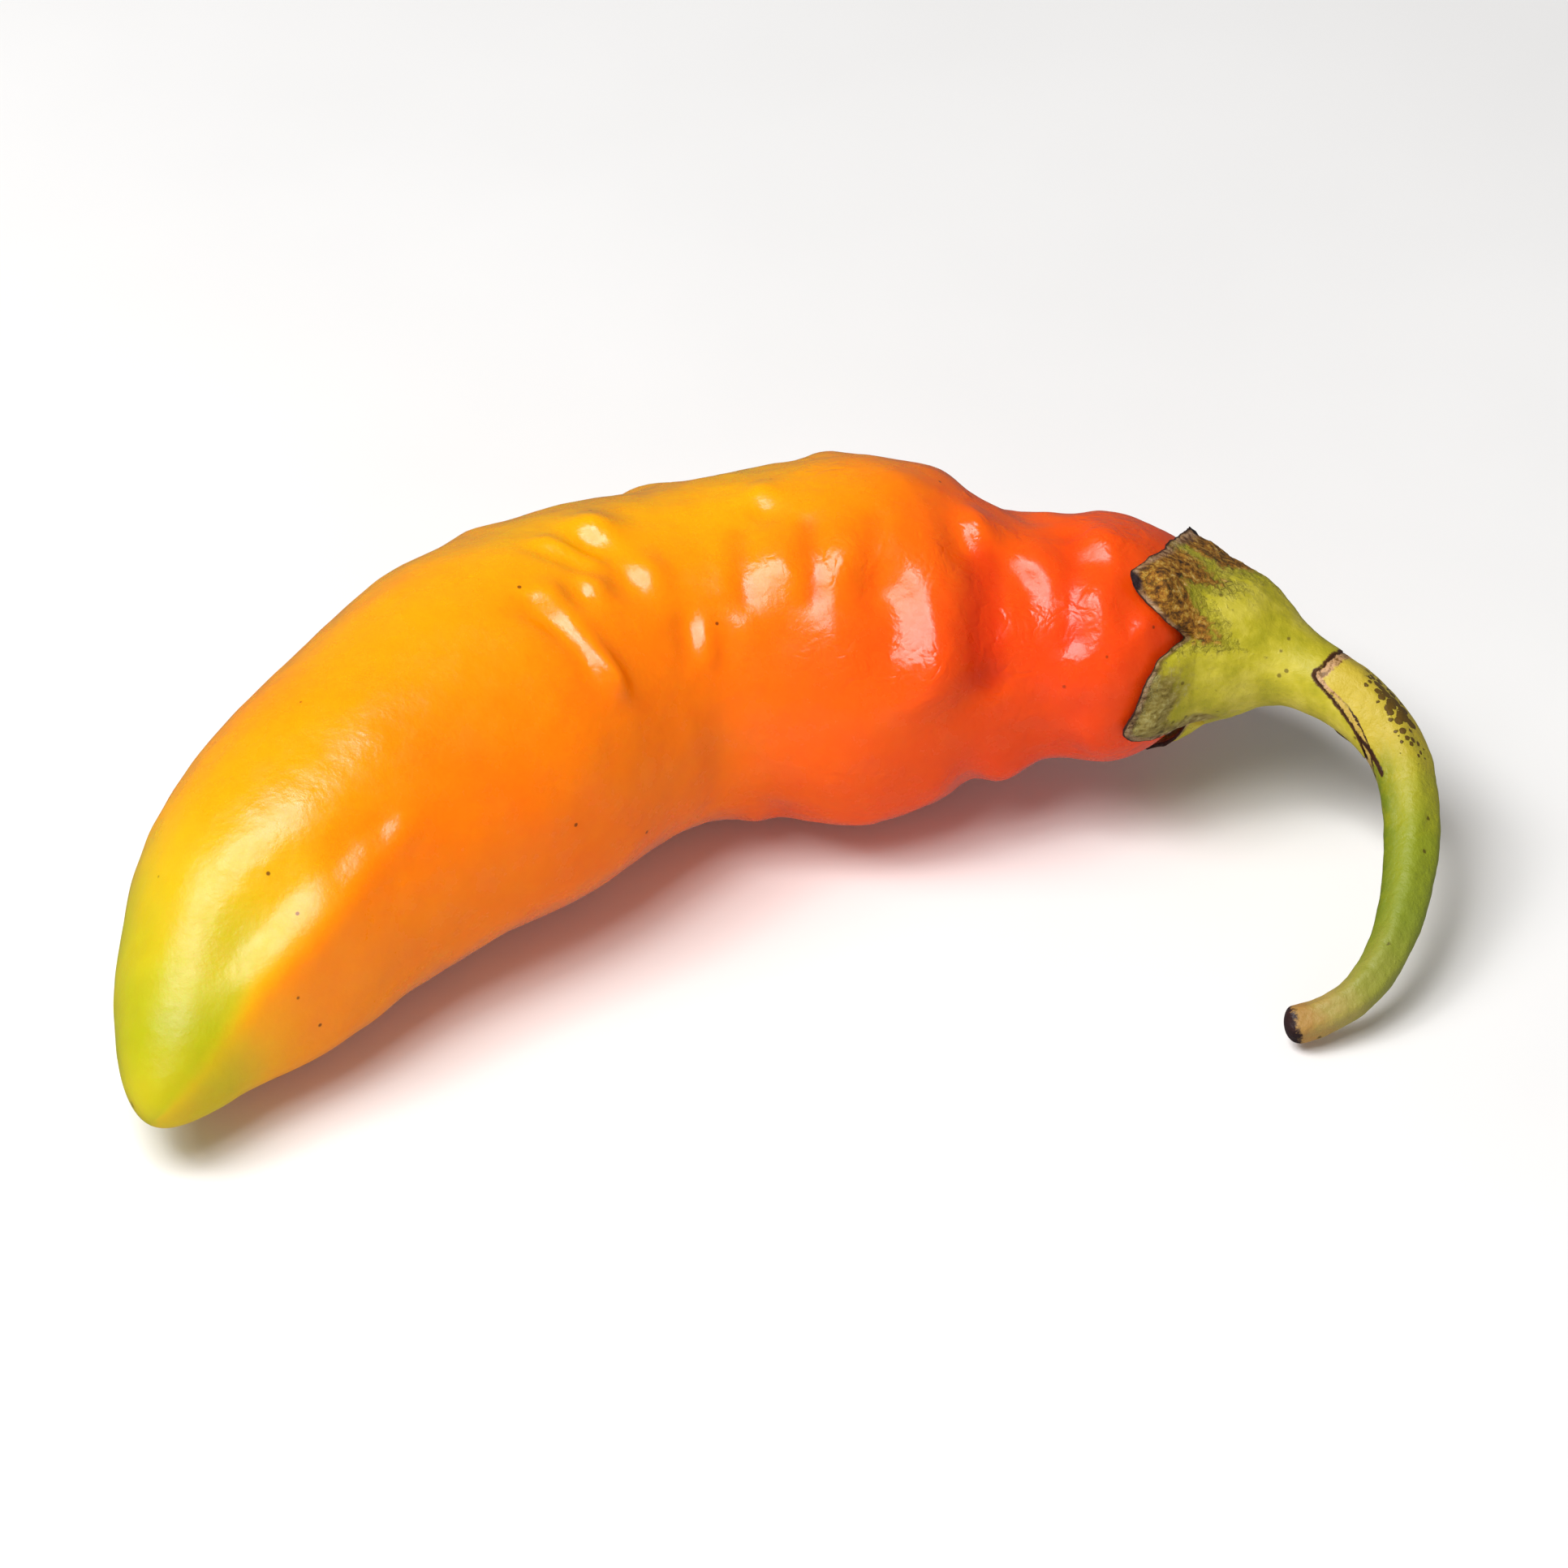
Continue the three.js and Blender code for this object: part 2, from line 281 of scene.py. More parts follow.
# Turn, distance of the joint where the stem leaves the calyx.
# The calyx reaches furthest up the stem inside the bend.
JOINT_LINE = [
    [-120, 102.5],
    [-60, 102.3],
    [-15, 102.4],
    [25, 102.2],
    [48, 102.3],
    [64, 104.3],
    [82, 107.3],
    [98, 109.2],
    [116, 108.4],
    [136, 105.8],
    [165, 103.4],
    [200, 102.6],
    [240, 102.5],
]
JOINT_RADIUS = 2.4
JOINT_CRACK = 0.12

# The calyx and the stem are each closed by a point inside, at the middle of the joint.
JOINT = 104.6

# Distance and turn of both ends of the dark tear that runs on up the stem.
TEAR = (107.0, 84, 111.8, 61)
TEAR_RADIUS = 2.15
TORN_SIDE = 82
TORN_TURN = (33, 25)

# Distance, radius of the stem.
STALK = [
    [99, 2.4],
    [103, 2.45],
    [108, 2.15],
    [113, 2.0],
    [118, 1.85],
    [123, 1.6],
    [128, 1.35],
    [131.5, 1.25],
    [134.5, 1.35],
]
STALK_END = 134.5
STALK_DOME = 0.5
END_ROUND = 1.0
STALK_RIDGES = 5
RIDGE_HEIGHT = 0.07
STALK_LUMP = 2.0
STALK_LUMP_HEIGHT = 0.08

# Painted shade darkens the stem inside the bend, and the stem is corky round a turn outside it, with a reach
# in degrees.
BEND_INSIDE = 95
SHADE_SIDE = (0.2, 1)
SHADE_START = (108, 112)
SHADE_END = (130, 124)
CORK_TURN = (-22, 36)
CORK_MIDDLE = 107.5
CORK_REACH = 3.6
CORK_EVERYWHERE = 0.12

# Distance, ripeness on the side that ripens late, ripeness on the side that ripens first.
RIPENESS = [
    [0, 0.05, 0.12],
    [5, 0.07, 0.2],
    [8, 0.09, 0.36],
    [12, 0.12, 0.47],
    [16, 0.2, 0.51],
    [21, 0.33, 0.55],
    [27, 0.39, 0.57],
    [34, 0.36, 0.58],
    [42, 0.32, 0.6],
    [56, 0.32, 0.66],
    [64, 0.35, 0.74],
    [70, 0.48, 0.79],
    [76, 0.7, 0.86],
    [82, 0.78, 0.88],
    [94, 0.88, 0.92],
]
RIPE_TURN = 120
RIPE_REACH = 135
RIPE_FADE = 80
RIPE_TIP = (32, 12)
TIP_RIPE_LAG = 48
TIP_RIPE_SHARPNESS = 58

# Fine unevenness of the pod: height, size of its lumps, distances where it starts and where it is full.
UNEVENNESS = [
    [0.16, 7.0, 0, 12],
    [0.06, 2.4, 30, 60],
]

# The skin is crinkled towards the shoulder and has a dull bloom at the tip.
PLAINEST = 0.1
CRINKLED = (52, 76)
BLOOM = (26, 8)

# Rings stand closer together at the pod's ends and at the calyx's rim.
POD_RINGS = 340
POD_COLUMNS = 260
POD_CROWDING = 0.11
CALYX_COLUMNS = 288
UNDERSIDE_RINGS = 12
UNDERSIDE_CROWDING = 2
CALYX_RINGS = 220
CALYX_CROWDING = 1.3
STALK_RINGS = 300
STALK_COLUMNS = 160

# Distance, turn, radius of the mark that the blossom left at the tip.
SCAR = (0.5, -80, 2.0)
SCAR_SIZE = 0.6

CAMERA_ELEVATION = 40
CAMERA_DISTANCE = 0.6
FRAME_WIDTH = 0.1078
SENSOR = 36
CAMERA_CLIP = 0.01
AIM = (0.0186, -0.0035, 0.010)
FLOOR_HALF = 1.5

# Name, place, size and power of each light, and whether the skin's shine shows it.
LIGHTS = [
    ["key_softbox", (-0.145, -0.154, 0.455), (0.34, 0.22), 2.25, True],
    ["front_fill", (0.1, -0.7, 0.22), (0.7, 0.4), 1.1, False],
    ["left_softbox", (-0.29, -0.06, 0.40), (0.2, 0.2), 0.7, True],
    ["crisp_light", (-0.07, -0.10, 0.49), (0.11, 0.08), 0.35, True],
]
WORLD_STRENGTH = 0.16


def smooth(rows, x):
    """A cubic through the rows, whose slope at each row follows from the rows on both sides."""
    rows = np.array(rows, dtype=float)
    knots, values = rows[:, 0], rows[:, 1:]
    spans = np.diff(knots)[:, None]
    rises = np.diff(values, axis=0) / spans
    between = (rises[:-1] * spans[1:] + rises[1:] * spans[:-1]) / (spans[1:] + spans[:-1])
    slopes = np.vstack([rises[:1], between, rises[-1:]])
    x = np.clip(x, knots[0], knots[-1])
    k = np.clip(np.searchsorted(knots, x, side="right") - 1, 0, len(knots) - 2)
    f = (x - knots[k])[..., None] / spans[k]
    start = values[k] * (1 + 2 * f) * (1 - f) ** 2
    end = values[k + 1] * f * f * (3 - 2 * f)
    leaving = slopes[k] * spans[k] * f * (1 - f) ** 2
    arriving = slopes[k + 1] * spans[k] * f * f * (1 - f)
    result = start + end + leaving - arriving
    return result[..., 0] if values.shape[1] == 1 else result


def gently(rows, x, blur):
    """The same cubic averaged over a few millimetres, so that its bend changes without a visible edge."""
    reach = blur * np.clip(np.minimum(x, rows[-1][0] - x) / BLUR_TAPER, 0, 1)
    return sum(smooth(rows, x + share * reach) for share in (-1, -1 / 3, 1 / 3, 1)) / 4


def ease(value):
    """From nothing at zero to one at one, level at both ends."""
    inside = np.clip(value, 0, 1)
    return inside * inside * (3 - 2 * inside)


def rise(value, none, full):
    """From nothing at one value to one at the other, level at both ends."""
    return ease((value - none) / (full - none))


def quarter_round(value):
    """From one at zero down to nothing at one, as a quarter of a circle falls."""
    inset = np.clip(value, 0, 1)
    return np.sqrt(1 - inset * inset)


def skin_points(distance, turn, radius):
    """Points at a radius from the axis, on the side that the turn names."""
    step = 0.05
    centre = gently(AXIS, distance, AXIS_BLUR)
    tangent = gently(AXIS, distance + step, AXIS_BLUR) - gently(AXIS, distance - step, AXIS_BLUR)
    tangent /= np.linalg.norm(tangent, axis=-1, keepdims=True)
    up = np.array([0.0, 0.0, 1.0]) - tangent * tangent[..., 2:]
    up /= np.linalg.norm(up, axis=-1, keepdims=True)
    side = np.cross(tangent, up)
    angle = np.radians(turn)[..., None]
    return centre + radius[..., None] * (np.cos(angle) * up + np.sin(angle) * side)


def turn_between(turn, facing):
    """How far a turn is from another, from -180 to 180 degrees."""
    return (turn - facing + 180) % 360 - 180


def around_turn(turn, facing, reach):
    """One at a turn, falling off to both sides."""
    return np.exp(-(turn_between(turn, facing) / reach) ** 2)


def swelling(distance, turn, bump):
    at, facing, height, reach_along, reach_round = bump
    along = (distance - at) / reach_along
    around = np.radians(turn_between(turn, facing)) * smooth(GIRTH, at) / reach_round
    return height * np.exp(-along ** 2 - around ** 2)


def gap_to_line(distance, turn, line, radius):
    """How far a place is, in millimetres along the skin, from the line between two places."""
    first, first_turn, last, last_turn = line
    along = distance - first
    around = np.radians(turn_between(turn, first_turn)) * radius
    length = last - first
    width = np.radians(last_turn - first_turn) * radius
    part = np.clip((along * length + around * width) / (length ** 2 + width ** 2), 0, 1)
    return np.hypot(along - part * length, around - part * width)


def fold(distance, turn, crease):
    """The height of a crease: full on the line between its ends, and falling off to both sides."""
    *line, height, reach = crease
    gap = gap_to_line(distance, turn, line, smooth(GIRTH, (line[0] + line[2]) / 2))
    return height * np.exp(-(gap / reach) ** 2)


def from_spot(distance, turn, middle, facing, twist):
    """How far a place is from a spot, along and round the pod, and then in the twisted directions."""
    along = distance - middle
    around = np.radians(turn_between(turn, facing)) * smooth(GIRTH, middle)
    cosine, sine = math.cos(math.radians(twist)), math.sin(math.radians(twist))
    return along, around, along * cosine + around * sine, around * cosine - along * sine


def slant(distance, turn, spot):
    """A spot that tilts the skin: it rises to one side of its middle and sinks on the other."""
    middle, facing, rise_along, rise_round, reach_along, reach_round, twist = spot
    along, around, lengthwise, crosswise = from_spot(distance, turn, middle, facing, twist)
    fade = np.exp(-(lengthwise / reach_along) ** 2 - (crosswise / reach_round) ** 2)
    return (rise_along * along + rise_round * around) * fade


def stroke(distance, turn, row):
    """A slant that is even over its length and ends sharply."""
    middle, facing, rise_along, rise_round, reach_across, reach_out, twist = row
    along, around, across, out = from_spot(distance, turn, middle, facing, twist)
    fade = np.exp(-(across / reach_across) ** 2 - (out / reach_out) ** 4)
    return (rise_along * along + (rise_round + STROKE_BEND * around) * around) * fade


def bumps_and_creases(distance, turn):
    height = sum(swelling(distance, turn, bump) for bump in BUMPS)
    height = height + sum(fold(distance, turn, crease) for crease in CREASES)
    height = height + sum(stroke(distance, turn, row) for row in STROKES)
    return height + sum(slant(distance, turn, spot) for spot in SLANTS)


def relief(distance, turn):
    """The height of all that stands out from the plain pod or sinks into it."""
    fade = ease(distance / LOBE_FADE) * ease((POD_LENGTH - distance) / LOBE_FADE)
    lobes = np.cos(np.radians(LOBES * turn - LOBE_TURN))
    return LOBE_DEPTH * smooth(GIRTH, distance) * lobes * fade + bumps_and_creases(distance, turn)


def full_radius(distance, turn):
    return gently(GIRTH, np.minimum(distance, POD_LENGTH), GIRTH_BLUR) + relief(distance, turn)


def pod_ends(distance):
    """The share of the radius that the round ends leave."""
    tip = quarter_round(1 - distance / TIP_ROUND)
    top = quarter_round(1 - (POD_LENGTH - distance) / TOP_ROUND)
    return tip * top


def rim_distance(turn):
    first = RIM[0][0]
    return smooth(RIM, (turn - first) % 360 + first)


def joint_distance(turn):
    first = JOINT_LINE[0][0]
    return smooth(JOINT_LINE, (turn - first) % 360 + first)


def joint_steepness(turn):
    """How much further along the axis a step away from the joint's line is, where that line slants."""
    slope = (joint_distance(turn + 1) - joint_distance(turn - 1)) / np.radians(2)
    return np.hypot(1, slope / JOINT_RADIUS)


def seat_radius(distance, turn):
    """The radius of the calyx's underside, which keeps its clearance from the pod."""
    return full_radius(distance - CLEARANCE, turn) + CLEARANCE


def roughen(points, scale, octaves=3):
    """Smooth noise at each point, about -1 to 1, whose lumps have a given size in millimetres."""
    flat = points.reshape(-1, 3) / scale
    values = [noise.fractal(Vector(place), 1.0, 2.0, octaves) for place in flat]
    return np.array(values).reshape(points.shape[:-1])


def closed_skin(name, points, attributes):
    """A closed mesh from rings of points, whose first and last ring are one point each."""
    rings, columns = points.shape[:2]
    inner = points[1:-1].reshape(-1, 3)
    vertices = np.vstack([points[0, :1], inner, points[-1, :1]]) * MM
    last = len(vertices) - 1
    grid = 1 + np.arange((rings - 2) * columns).reshape(rings - 2, columns)
    beside = np.roll(grid, -1, axis=1)
    quads = np.stack([grid[:-1], beside[:-1], beside[1:], grid[1:]], axis=-1).reshape(-1, 4)
    faces = quads.tolist()
    for column in range(columns):
        faces.append((0, int(beside[0, column]), int(grid[0, column])))
        faces.append((int(grid[-1, column]), int(beside[-1, column]), last))
    mesh = bpy.data.meshes.new(name)
    mesh.from_pydata(vertices.tolist(), [], faces)
    mesh.polygons.foreach_set("use_smooth", [True] * len(mesh.polygons))
    for label, values in attributes.items():
        kept = np.concatenate([values[0, :1], values[1:-1].ravel(), values[-1, :1]])
        mesh.attributes.new(label, "FLOAT", "POINT").data.foreach_set("value", kept)
    piece = bpy.data.objects.new(name, mesh)
    bpy.context.collection.objects.link(piece)
    return piece


def linear(code):
    """The scene-linear colour of a hex code."""
    channels = [int(code[k:k + 2], 16) / 255 for k in (1, 3, 5)]
    return tuple(c / 12.92 if c <= 0.04045 else ((c + 0.055) / 1.055) ** 2.4 for c in channels) + (1.0,)


class Shader:
    """A material's node tree, built by short calls that each give back an output."""

    def __init__(self, name):
        self.material = bpy.data.materials.new(name)
        self.material.use_nodes = True
        self.tree = self.material.node_tree
        self.surface = self.tree.nodes["Principled BSDF"]

    def join(self, socket, value):
        if isinstance(value, bpy.types.NodeSocket):
            self.tree.links.new(value, socket)
        else:
            socket.default_value = value

    def set(self, name, value):
        self.join(self.surface.inputs[name], value)

    def attribute(self, name):
        node = self.tree.nodes.new("ShaderNodeAttribute")
        node.attribute_name = name
        return node.outputs["Fac"]

    def place(self, stretch=(1, 1, 1)):
        """The place on the piece in millimetres."""
        where = self.tree.nodes.new("ShaderNodeTexCoord")
        scaled = self.tree.nodes.new("ShaderNodeVectorMath")
        scaled.operation = "MULTIPLY"
        self.join(scaled.inputs[0], where.outputs["Object"])
        scaled.inputs[1].default_value = [s / MM for s in stretch]
        return scaled.outputs[0]

    def noise(self, place, size, detail=3, rough=0.5, warp=0):
        node = self.tree.nodes.new("ShaderNodeTexNoise")
        self.join(node.inputs["Vector"], place)
        node.inputs["Scale"].default_value = 1 / size
        node.inputs["Detail"].default_value = detail
        node.inputs["Roughness"].default_value = rough
        node.inputs["Distortion"].default_value = warp
        return node.outputs["Fac"]

    def cells(self, place, size, feature="F1"):
        """The distance to the middle or the edge of cells of a given size."""
        node = self.tree.nodes.new("ShaderNodeTexVoronoi")
        node.feature = feature
        self.join(node.inputs["Vector"], place)
        node.inputs["Scale"].default_value = 1 / size
        return node.outputs["Distance"]

    def math(self, operation, first, second=0.0):
        node = self.tree.nodes.new("ShaderNodeMath")
        node.operation = operation
        self.join(node.inputs[0], first)
        self.join(node.inputs[1], second)
        return node.outputs[0]

    def times(self, first, second):
        return self.math("MULTIPLY", first, second)

    def add(self, first, second, share=1):
        """The first and a share of the second."""
        return self.math("ADD", first, second if share == 1 else self.times(second, share))

    def remap(self, value, low, high, new_low=0.0, new_high=1.0):
        node = self.tree.nodes.new("ShaderNodeMapRange")
        node.interpolation_type = "SMOOTHSTEP"
        self.join(node.inputs["Value"], value)
        self.join(node.inputs["From Min"], low)
        self.join(node.inputs["From Max"], high)
        self.join(node.inputs["To Min"], new_low)
        self.join(node.inputs["To Max"], new_high)
        return node.outputs["Result"]

    def below(self, value, full, none):
        """One under the first value, and nothing over the second."""
        return self.remap(value, full, none, 1.0, 0.0)

    def ramp(self, value, stops):
        node = self.tree.nodes.new("ShaderNodeValToRGB")
        self.join(node.inputs["Fac"], value)
        while len(node.color_ramp.elements) < len(stops):
            node.color_ramp.elements.new(1.0)
        for element, (position, code) in zip(node.color_ramp.elements, stops):
            element.position = position
            element.color = linear(code)
        return node.outputs["Color"]

    def blend(self, part, first, second, mode="MIX"):
        node = self.tree.nodes.new("ShaderNodeMix")
        node.data_type = "RGBA"
        node.blend_type = mode
        self.join(node.inputs["Factor"], part)
        self.join(node.inputs[6], first)
        self.join(node.inputs[7], second)
        return node.outputs[2]

    def bump(self, height, depth, onto=None):
        """A bump whose full height is a depth in millimetres."""
        node = self.tree.nodes.new("ShaderNodeBump")
        node.inputs["Distance"].default_value = depth * MM
        self.join(node.inputs["Height"], height)
        if onto is not None:
            self.join(node.inputs["Normal"], onto)
        return node.outputs["Normal"]

    def scatter(self, weight, radius, scale):
        """Light that enters the surface and leaves it again, with a scale in millimetres."""
        self.set("Subsurface Weight", weight)
        self.surface.inputs["Subsurface Radius"].default_value = radius
        self.set("Subsurface Scale", scale * MM)


# Skin colours from unripe to ripe.
RIPENING = [
    (0.0, "#a0a808"),
    (0.1, "#c0b40e"),
    (0.2, "#dab00e"),
    (0.3, "#eda500"),
    (0.42, "#f69400"),
    (0.55, "#fa8000"),
    (0.68, "#f86a06"),
    (0.8, "#f0540a"),
    (0.92, "#ea450e"),
    (1.0, "#e63a12"),
]

# Colours of the calyx where it is fresh, where it turns grey and where it is dry.
CALYX_GREEN = [(0.3, "#9e9718"), (0.5, "#b4a826"), (0.7, "#c8ba44")]
CALYX_GREY = [(0.38, "#40300f"), (0.45, "#75602c"), (0.53, "#8f7f44"), (0.62, "#aca066")]
CALYX_CRUST = [(0.38, "#301b05"), (0.45, "#6e450c"), (0.51, "#9a6414"), (0.57, "#b78b30"), (0.66, "#d2b070")]
CALYX_BAND = [(0.36, "#5c3a28"), (0.5, "#a07a58"), (0.64, "#c4a588")]

# Colours of the stem from the joint to the cut end.
STEM_GREEN = [
    (0.0, "#c2aa34"),
    (0.16, "#baa530"),
    (0.28, "#a49f26"),
    (0.42, "#89921c"),
    (0.62, "#808c26"),
    (0.8, "#909038"),
    (0.9, "#a4924a"),
    (0.97, "#a88040"),
]
STEM_COLLAR = [(0.4, "#6a4020"), (0.52, "#bd9068")]

PLANT_IOR = 1.4
SKIN_RADIUS = (1.0, 0.35, 0.05)
LEAF_RADIUS = (0.8, 0.7, 0.15)


def skin_material():
    """Waxy skin whose colour follows the ripeness, with fine crinkles and a few dark specks."""
    s = Shader("waxy_skin")
    place = s.place()
    drift = s.times(s.add(s.noise(place, 11, 3), -0.5), 0.22)
    colour = s.ramp(s.add(s.attribute("ripeness"), drift), RIPENING)
    mottle = s.remap(s.noise(place, 1.3, 5, 0.6), 0.3, 0.7, 0.0, 0.1)
    colour = s.blend(mottle, colour, linear("#f0c080"), "MULTIPLY")
    # Painted shade: the skin is darkened to a deeper red in its creases.
    crease = s.remap(s.attribute("crease_shade"), 0.1, 0.7, 0.0, 0.6)
    colour = s.blend(crease, colour, linear("#d02606"))
    chosen = s.remap(s.add(s.noise(place, 5.5, 1), s.attribute("bloom"), 0.08), 0.52, 0.56)
    specks = s.times(s.below(s.cells(place, 2.6), 0.035, 0.075), chosen)
    colour = s.blend(s.times(specks, 0.8), colour, linear("#5a2206"))
    scar = s.remap(s.add(s.attribute("scar"), s.noise(place, 0.5, 4), 0.6), 0.75, 1.0)
    colour = s.blend(s.times(scar, 0.85), colour, linear("#4a2a10"))
    s.set("Base Color", colour)
    uneven = s.remap(s.noise(place, 2.2, 4, 0.6), 0.3, 0.75, 0.19, 0.33)
    s.set("Roughness", s.add(uneven, s.attribute("bloom"), 0.14))
    s.scatter(0.4, SKIN_RADIUS, 4)
    s.set("IOR", PLANT_IOR)
    lines = s.math("ABSOLUTE", s.add(s.noise(place, 1.7, 2, 0.5, 0.5), -0.5))
    crinkled = s.times(s.attribute("crinkled"), s.remap(s.noise(place, 5, 2), 0.42, 0.62))
    lumps = s.bump(s.noise(place, 1.9, 4, 0.5), 0.1)
    crinkle = s.bump(s.times(lines, crinkled), 0.3, lumps)
    s.set("Normal", s.bump(s.noise(place, 0.45, 3, 0.6), 0.02, crinkle))
    return s.material


def calyx_material():
    """A green cap with dry and crusty teeth, dark tips, and a pale band and a dark line along the rim."""
    s = Shader("half_dried_calyx")
    place = s.place()
    blotch = s.noise(place, 2.2, 4, 0.6)
    grain = s.noise(place, 0.5, 5, 0.7, 0.4)
    fibre = s.noise(s.place((0.28, 1, 1)), 0.4, 3, 0.6, 0.3)
    colour = s.ramp(blotch, CALYX_GREEN)
    uneven = s.times(s.add(s.add(blotch, grain), -1.0), 0.8)
    dryness = s.add(s.attribute("dry"), uneven)
    greyness = s.remap(s.add(s.attribute("grey"), uneven), 0.3, 0.7)
    grey = s.ramp(s.add(s.times(grain, 0.5), fibre, 0.5), CALYX_GREY)
    colour = s.blend(s.times(greyness, 0.9), colour, grey)
    crust = s.ramp(s.add(s.times(grain, 0.65), fibre, 0.35), CALYX_CRUST)
    colour = s.blend(s.remap(dryness, 0.42, 0.62), colour, crust)
    blister = s.cells(place, 0.62, "DISTANCE_TO_EDGE")
    edges = s.below(s.add(blister, grain, 0.12), 0.07, 0.13)
    around_crust = s.times(s.remap(dryness, 0.12, 0.4), s.remap(blotch, 0.46, 0.6))
    colour = s.blend(s.times(s.times(edges, around_crust), 0.65), colour, linear("#4a3a0a"))
    spots = s.below(s.add(s.cells(place, 1.5), grain, 0.2), 0.17, 0.23)
    colour = s.blend(s.times(spots, 0.7), colour, linear("#574410"))
    band = s.below(s.add(s.attribute("from_edge"), fibre, 0.5), 0.6, 1.1)
    colour = s.blend(s.times(band, 0.75), colour, s.ramp(fibre, CALYX_BAND))
    line = s.below(s.add(s.attribute("from_rim"), grain, 0.3), 0.2, 0.33)
    colour = s.blend(line, colour, linear("#35201c"))
    tip = s.remap(s.add(s.attribute("tip"), grain, 0.6), 0.55, 0.85)
    colour = s.blend(tip, colour, linear("#28171c"))
    joint = s.below(s.add(s.attribute("to_joint"), grain, 0.5), 0.27, 0.42)
    colour = s.blend(joint, colour, linear("#4a2a12"))
    s.set("Base Color", colour)
    s.set("Roughness", s.remap(dryness, 0.2, 0.7, 0.42, 0.75))
    s.scatter(0.06, LEAF_RADIUS, 1.5)
    s.set("IOR", PLANT_IOR)
    coarse = s.bump(s.times(grain, s.remap(dryness, 0.2, 0.6, 0.2, 1.0)), 0.35)
    s.set("Normal", s.bump(s.times(fibre, band), 0.15, coarse))
    return s.material


def stem_material():
    """A stem, yellow at the bend and green further on, with corky dots, a torn joint and a dark cut end."""
    s = Shader("green_stem")
    place = s.place()
    fibre = s.noise(place, 1.1, 4, 0.6)
    grain = s.noise(place, 0.4, 4, 0.7, 0.3)
    colour = s.ramp(s.add(s.attribute("along"), s.add(fibre, -0.5), 0.12), STEM_GREEN)
    # Painted shade: the stem is darker green inside the bend.
    bend_shade = s.times(s.attribute("bend_shade"), s.remap(fibre, 0.3, 0.7, 0.6, 1.0))
    colour = s.blend(bend_shade, colour, linear("#5e7005"))
    size = s.add(s.add(s.times(s.attribute("cork"), 0.72), 0.1), grain, -0.5)
    corky = s.remap(s.add(size, s.cells(place, 0.62), -0.8), 0.0, 0.06)
    colour = s.blend(s.times(corky, 0.9), colour, linear("#50320e"))
    marks = s.below(s.add(s.cells(place, 1.9), grain, 0.3), 0.2, 0.25)
    colour = s.blend(s.times(marks, 0.8), colour, linear("#4e3c0c"))
    from_joint = s.add(s.attribute("from_joint"), s.add(grain, -0.5), 0.7)
    torn = s.attribute("torn")
    pale = s.times(s.below(from_joint, 0.55, 0.75), s.remap(torn, 0.0, 1.0, 0.9, 0.35))
    colour = s.blend(pale, colour, s.ramp(grain, STEM_COLLAR))
    second = s.below(s.math("ABSOLUTE", s.add(from_joint, -0.72)), 0.06, 0.14)
    colour = s.blend(s.times(second, torn), colour, linear("#3a200c"))
    colour = s.blend(s.below(from_joint, 0.04, 0.18), colour, linear("#3a200f"))
    tear = s.below(s.add(s.attribute("tear_gap"), grain, 0.3), 0.28, 0.42)
    colour = s.blend(tear, colour, linear("#341a0c"))
    cut = s.below(s.add(s.attribute("to_end"), grain, 1.2), 1.25, 1.6)
    colour = s.blend(cut, colour, linear("#2a1718"))
    s.set("Base Color", colour)
    s.set("Roughness", s.remap(fibre, 0.3, 0.7, 0.42, 0.62))
    s.scatter(0.06, LEAF_RADIUS, 1.2)
    s.set("IOR", PLANT_IOR)
    s.set("Normal", s.bump(s.add(corky, grain, 0.4), 0.12, s.bump(fibre, 0.2)))
    return s.material


def floor_material():
    s = Shader("pale_floor")
    s.set("Base Color", s.ramp(s.noise(s.place(), 40, 3), [(0.3, "#ecebea"), (0.7, "#f0efee")]))
    s.set("Roughness", 0.7)
    return s.material


def ripeness(distance, turn):
    """How ripe the skin is. The side that ripens first is narrower and has a sharper edge at the tip."""
    late_and_early = smooth(RIPENESS, distance)
    tip = rise(distance, *RIPE_TIP)
    reach = RIPE_REACH - TIP_RIPE_LAG * tip
    fade = RIPE_FADE - TIP_RIPE_SHARPNESS * tip
    early = ease((reach - np.abs(turn_between(turn, RIPE_TURN))) / fade)
    return late_and_early[..., 0] * (1 - early) + late_and_early[..., 1] * early


def make_pod():
    part = np.linspace(0, 1, POD_RINGS + 1)
    along = POD_LENGTH * (part - POD_CROWDING * np.sin(2 * np.pi * part))
    distance, turn = np.meshgrid(along, np.arange(POD_COLUMNS) * 360 / POD_COLUMNS, indexing="ij")
    radius = full_radius(distance, turn)
    plain = skin_points(distance, turn, radius)
    for height, size, none, full in UNEVENNESS:
        radius = radius + height * roughen(plain, size) * rise(distance, none, full)
    points = skin_points(distance, turn, radius * pod_ends(distance))
    points[..., 2] = np.maximum(points[..., 2], 0)
    blossom_end = skin_points(*(np.array([value]) for value in SCAR))[0]
    from_scar = np.linalg.norm(points - blossom_end, axis=-1)
    pod = closed_skin("pod_skin", points, {
        "ripeness": ripeness(distance, turn),
        # How deep each crease is, which sets the painted shade in it.
        "crease_shade": -np.minimum(sum(fold(distance, turn, crease) for crease in CREASES), 0),
        "crinkled": PLAINEST + (1 - PLAINEST) * rise(distance, *CRINKLED),
        "scar": np.exp(-(from_scar / SCAR_SIZE) ** 2),
        "bloom": rise(distance, *BLOOM),
    })
    pod.data.materials.append(skin_material())
    return pod


def ragged(distances, turns, radius, size, depth):
    """The distances of an edge round the axis, made uneven."""
    return distances + depth * roughen(skin_points(distances, turns, np.full_like(distances, radius)), size)


def ragged_joint(turns):
    return ragged(joint_distance(turns), turns, JOINT_RADIUS, *JOINT_RAGGEDNESS)


def seat_end(distance):
    """The round end of the calyx's seat, which keeps its clearance from the pod's own."""
    return quarter_round(1 - (SEAT_END - distance) / (TOP_ROUND + CLEARANCE))


